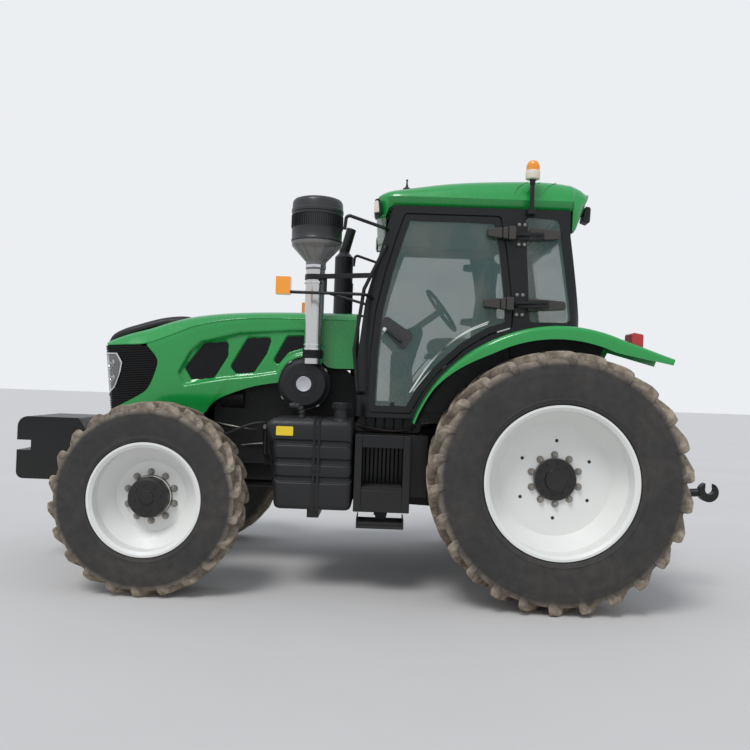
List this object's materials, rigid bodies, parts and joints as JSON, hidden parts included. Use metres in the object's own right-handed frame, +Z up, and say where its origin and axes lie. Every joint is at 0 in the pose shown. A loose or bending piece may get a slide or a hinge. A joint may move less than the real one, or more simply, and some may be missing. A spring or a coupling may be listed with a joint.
{
  "type": "farm tractor",
  "caption": "Green four wheel drive farm tractor with a glazed cab, opening hood and doors, front weight and rear three point linkage.",
  "frame": {"origin": "centre of the bounding box on the ground", "axes": "+X runs to the front weight, +Y to the tractor's left side, +Z up"},
  "size_m": [5.3035, 2.47, 3.066],
  "materials": {
    "green_paint": "glossy bright mid green, lightly dusty",
    "white_paint": "white enamel with road dust",
    "tyre_rubber": "brown-grey dusty tyre",
    "black_paint": "satin black",
    "black_moulding": "moulded black with a fine grain",
    "dark_cast_iron": "painted dark grey casting",
    "bare_steel": "bright worn steel",
    "stainless": "polished tube",
    "dark_mesh": "black mesh",
    "dark_grey_panel": "dark grey moulding",
    "clear_glass": "teal-grey tinted glass",
    "lamp_lens": "clear lens over chrome",
    "amber_lens": "amber lens",
    "red_lens": "red lens",
    "seat_fabric": "dark woven seat cover"
  },
  "bodies": {
    "chassis": {"front_axle": "dark_cast_iron", "rear_axles": "dark_cast_iron", "rear_housing": "dark_cast_iron", "engine_block": "dark_cast_iron", "radiator": "black_paint", "front_frame": "dark_cast_iron", "front_weight": "black_paint", "drive_shaft": "black_paint", "cab_frame": "black_paint", "cab_glass": "clear_glass", "cab_floor": "black_paint", "cab_roof": "green_paint", "door_hinges": "black_paint", "seat_base": "black_paint", "seat_cushion": "seat_fabric", "steering_column": "black_moulding", "fenders": "green_paint", "side_tanks": "black_moulding", "side_carriers": "dark_cast_iron", "steps": "black_moulding", "air_cleaner": "black_moulding", "intake_stack": "stainless", "pre_cleaner": "dark_grey_panel", "exhaust": "black_paint", "handrails": "black_paint", "cab_arms": "black_paint", "turn_lamps": "amber_lens", "work_lamps": "lamp_lens", "tail_lamps": "red_lens", "beacon": "amber_lens", "drawbar": "black_paint"},
    "hood": {"hood_shell": "green_paint", "nose_grille": "dark_mesh", "side_vents": "dark_mesh", "headlamps": "lamp_lens"},
    "left_door": {"door_left": "black_paint", "door_glass_left": "clear_glass"},
    "right_door": {"door_right": "black_paint", "door_glass_right": "clear_glass"},
    "left_steer": {"knuckle_left": "dark_cast_iron"},
    "right_steer": {"knuckle_right": "dark_cast_iron"},
    "left_front_wheel": {"front_rim_left": "white_paint", "front_tyre_left": "tyre_rubber"},
    "right_front_wheel": {"front_rim_right": "white_paint", "front_tyre_right": "tyre_rubber"},
    "left_rear_wheel": {"rear_rim_left": "white_paint", "rear_tyre_left": "tyre_rubber"},
    "right_rear_wheel": {"rear_rim_right": "white_paint", "rear_tyre_right": "tyre_rubber"},
    "steer_link": {"tie_rod": "bare_steel"},
    "hand_wheel": {"steering_wheel": "black_moulding"},
    "links": {"lower_links": "bare_steel"},
    "arms": {"lift_arms": "dark_cast_iron"},
    "rods": {"lift_rods": "bare_steel"},
    "upper_link": {"top_link": "bare_steel"}
  },
  "joints": [
    {"name": "rear_wheel_left", "type": "hinge", "parent": "chassis", "child": "left_rear_wheel", "pos_m": [-1.33524, 1, 0.865], "axis": [0, 1, 0], "continuous": true},
    {"name": "rear_wheel_right", "type": "hinge", "parent": "chassis", "child": "right_rear_wheel", "pos_m": [-1.33524, -1, 0.865], "axis": [0, 1, 0], "continuous": true},
    {"name": "front_wheel_left", "type": "hinge", "parent": "left_steer", "child": "left_front_wheel", "pos_m": [1.40776, 0.96, 0.648], "axis": [0, 1, 0], "continuous": true},
    {"name": "front_wheel_right", "type": "hinge", "parent": "right_steer", "child": "right_front_wheel", "pos_m": [1.40776, -0.96, 0.648], "axis": [0, 1, 0], "continuous": true},
    {"name": "steer_left", "type": "hinge", "parent": "chassis", "child": "left_steer", "pos_m": [1.40776, 0.8, 0.648], "axis": [0, 0, 1], "range_deg": [-45, 45]},
    {"name": "steer_right", "type": "hinge", "parent": "chassis", "child": "right_steer", "pos_m": [1.40776, -0.8, 0.648], "axis": [0, 0, 1], "range_deg": [-45, 45]},
    {"name": "tie_rod_turn", "type": "hinge", "parent": "left_steer", "child": "steer_link", "pos_m": [1.63776, 0.8, 0.56], "axis": [0, 0, 1], "range_deg": [-45, 45]},
    {"name": "steering_wheel_turn", "type": "hinge", "parent": "chassis", "child": "hand_wheel", "pos_m": [-0.59024, 0, 2.07], "axis": [-0.8, 0, 0.6], "range_deg": [-540, 540]},
    {"name": "door_left_swing", "type": "hinge", "parent": "chassis", "child": "left_door", "pos_m": [-1.26524, 0.872, 2.06], "axis": [0.0827, -0.093, 0.9922], "range_deg": [0, 75]},
    {"name": "door_right_swing", "type": "hinge", "parent": "chassis", "child": "right_door", "pos_m": [-1.26524, -0.872, 2.06], "axis": [-0.0827, -0.093, -0.9922], "range_deg": [0, 75]},
    {"name": "hood_lift", "type": "hinge", "parent": "chassis", "child": "hood", "pos_m": [0.09476, 0, 1.93], "axis": [0, -1, 0], "range_deg": [0, 40]},
    {"name": "lower_link_lift", "type": "hinge", "parent": "chassis", "child": "links", "pos_m": [-1.58524, 0, 0.65], "axis": [0, 1, 0], "range_deg": [-31, 15]},
    {"name": "lift_arm_turn", "type": "hinge", "parent": "chassis", "child": "arms", "pos_m": [-1.58524, 0, 1.18], "axis": [0, 1, 0], "range_deg": [-31, 15]},
    {"name": "lift_rod_turn", "type": "hinge", "parent": "arms", "child": "rods", "pos_m": [-2.0825, 0, 1.23226], "axis": [0, 1, 0], "range_deg": [-15, 31]},
    {"name": "top_link_swing", "type": "hinge", "parent": "chassis", "child": "upper_link", "pos_m": [-1.81524, 0, 1.04], "axis": [0, 1, 0], "range_deg": [-100, 0]}
  ],
  "couplings": [
    {"joint": "steer_right", "follows": "steer_left", "ratio": 1},
    {"joint": "tie_rod_turn", "follows": "steer_left", "ratio": -1},
    {"joint": "steering_wheel_turn", "follows": "steer_left", "ratio": 12},
    {"joint": "lift_arm_turn", "follows": "lower_link_lift", "ratio": 1},
    {"joint": "lift_rod_turn", "follows": "lower_link_lift", "ratio": -1}
  ]
}
